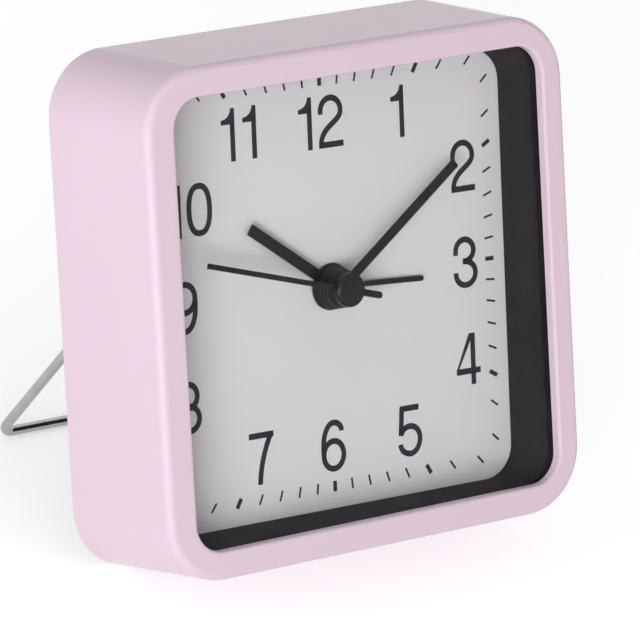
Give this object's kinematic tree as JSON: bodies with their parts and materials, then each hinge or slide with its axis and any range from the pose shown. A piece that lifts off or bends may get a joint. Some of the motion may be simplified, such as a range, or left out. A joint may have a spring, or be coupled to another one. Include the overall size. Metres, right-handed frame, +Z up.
{
  "type": "pendulette alarm clock",
  "caption": "Small square analogue alarm clock with a deep dial under a clear lens, leaning back on a folding wire stand, with setting knobs, switch and battery door behind.",
  "frame": {"origin": "on the table top under the middle of the clock's bounding box, as it stands on its wire foot", "axes": "+X to the right as one faces the dial, +Y to the back, +Z up"},
  "size_m": [0.08, 0.0612, 0.082],
  "materials": {
    "pink_case": "satin moulded",
    "clear_lens": "polished clear",
    "black_frame": "matt moulded",
    "grey_dial": "matt printed",
    "black_hands": "matt black lacquer",
    "white_gear": "moulded acetal",
    "magnet_grey": "sintered magnet",
    "motor_steel": "stamped",
    "copper_winding": "enamelled wire",
    "movement_plastic": "moulded",
    "screw_steel": "zinc plated",
    "green_board": "solder mask",
    "black_resin": "cast resin",
    "black_cover": "fine texture",
    "buzzer_brass": "rolled",
    "switch_white": "moulded",
    "cell_jacket": "shrink jacket",
    "contact_nickel": "nickel plated",
    "stand_chrome": "bright drawn wire"
  },
  "bodies": {
    "case": {"case_shell": "pink_case", "lens": "clear_lens", "inner_frame": "black_frame", "dial_plate": "grey_dial", "back_cover": "black_cover", "movement_front_plate": "movement_plastic", "movement_middle_plate": "movement_plastic", "movement_back_plate": "movement_plastic", "movement_screws": "screw_steel", "stator": "motor_steel", "coil_core": "motor_steel", "coil_bobbin": "white_gear", "coil_winding": "copper_winding", "circuit_board": "green_board", "controller_chip": "black_resin", "quartz_crystal": "screw_steel", "buzzer_disc": "buzzer_brass", "battery_cell": "cell_jacket", "positive_contact": "contact_nickel", "negative_contact": "contact_nickel", "buzzer_springs": "contact_nickel", "switch_spring": "contact_nickel", "alarm_spring": "contact_nickel"},
    "minute_hand": {"minute_hand": "black_hands", "cannon_pinion": "white_gear"},
    "minute_wheel": {"minute_wheel": "white_gear"},
    "hour_hand": {"hour_hand": "black_hands", "hour_wheel": "white_gear"},
    "time_knob": {"time_setting_arbor": "white_gear", "time_setting_knob": "black_cover"},
    "second_hand": {"second_hand": "black_hands", "seconds_wheel": "white_gear"},
    "fifth_wheel": {"fifth_wheel": "white_gear"},
    "rotor": {"rotor": "magnet_grey"},
    "third_wheel": {"third_wheel": "white_gear"},
    "centre_wheel": {"centre_wheel": "white_gear"},
    "alarm_hand": {"alarm_hand": "black_hands", "alarm_wheel": "white_gear"},
    "alarm_knob": {"alarm_setting_arbor": "white_gear", "alarm_setting_knob": "black_cover"},
    "alarm_switch": {"alarm_switch": "switch_white"},
    "battery_door": {"battery_door": "black_cover"},
    "wire_stand": {"wire_stand": "stand_chrome"}
  },
  "joints": [
    {"name": "minute_hand_turn", "type": "hinge", "parent": "case", "child": "minute_hand", "pos_m": [0, -0.00856, 0.04383], "axis": [0, 0.921, -0.3895], "continuous": true},
    {"name": "minute_wheel_turn", "type": "hinge", "parent": "case", "child": "minute_wheel", "pos_m": [-0.00567, -0.00135, 0.04292], "axis": [0, 0.921, -0.3895], "continuous": true},
    {"name": "hour_hand_turn", "type": "hinge", "parent": "case", "child": "hour_hand", "pos_m": [0, -0.00764, 0.04344], "axis": [0, 0.921, -0.3895], "continuous": true},
    {"name": "time_knob_turn", "type": "hinge", "parent": "case", "child": "time_knob", "pos_m": [-0.00679, 0.00649, 0.03321], "axis": [0, 0.921, -0.3895], "continuous": true},
    {"name": "second_hand_turn", "type": "hinge", "parent": "case", "child": "second_hand", "pos_m": [0, -0.0104, 0.04461], "axis": [0, 0.921, -0.3895], "continuous": true},
    {"name": "fifth_wheel_turn", "type": "hinge", "parent": "case", "child": "fifth_wheel", "pos_m": [0.00546, 0.00372, 0.04206], "axis": [0, 0.921, -0.3895], "continuous": true},
    {"name": "rotor_turn", "type": "hinge", "parent": "case", "child": "rotor", "pos_m": [0.00952, 0.00245, 0.0442], "axis": [0, 0.921, -0.3895], "continuous": true},
    {"name": "third_wheel_turn", "type": "hinge", "parent": "case", "child": "third_wheel", "pos_m": [0, 0.00303, 0.04557], "axis": [0, 0.921, -0.3895], "continuous": true},
    {"name": "centre_wheel_turn", "type": "hinge", "parent": "case", "child": "centre_wheel", "pos_m": [0, -0.00027, 0.04033], "axis": [0, 0.921, -0.3895], "continuous": true},
    {"name": "alarm_hand_turn", "type": "hinge", "parent": "case", "child": "alarm_hand", "pos_m": [0, -0.0058, 0.04266], "axis": [0, 0.921, -0.3895], "continuous": true},
    {"name": "alarm_knob_turn", "type": "hinge", "parent": "case", "child": "alarm_knob", "pos_m": [0.00679, 0.00649, 0.03321], "axis": [0, 0.921, -0.3895], "continuous": true},
    {"name": "alarm_switch_slide", "type": "slide", "parent": "case", "child": "alarm_switch", "axis": [0, -0.3895, -0.921], "range_m": [0, 0.004]},
    {"name": "battery_door_hinge", "type": "hinge", "parent": "case", "child": "battery_door", "pos_m": [0, 0.01756, 0.05488], "axis": [-1, 0, 0], "range_deg": [0, 85]},
    {"name": "stand_hinge", "type": "hinge", "parent": "case", "child": "wire_stand", "pos_m": [0, 0.01262, 0.0441], "axis": [-1, 0, 0], "range_deg": [0, 44.6]}
  ],
  "couplings": [
    {"joint": "minute_wheel_turn", "follows": "minute_hand_turn", "ratio": -0.33333},
    {"joint": "hour_hand_turn", "follows": "minute_hand_turn", "ratio": 0.083333},
    {"joint": "time_knob_turn", "follows": "minute_hand_turn", "ratio": 1},
    {"joint": "fifth_wheel_turn", "follows": "second_hand_turn", "ratio": -6},
    {"joint": "rotor_turn", "follows": "second_hand_turn", "ratio": 30},
    {"joint": "third_wheel_turn", "follows": "second_hand_turn", "ratio": -0.13333},
    {"joint": "centre_wheel_turn", "follows": "second_hand_turn", "ratio": 0.016667},
    {"joint": "alarm_knob_turn", "follows": "alarm_hand_turn", "ratio": -3}
  ]
}
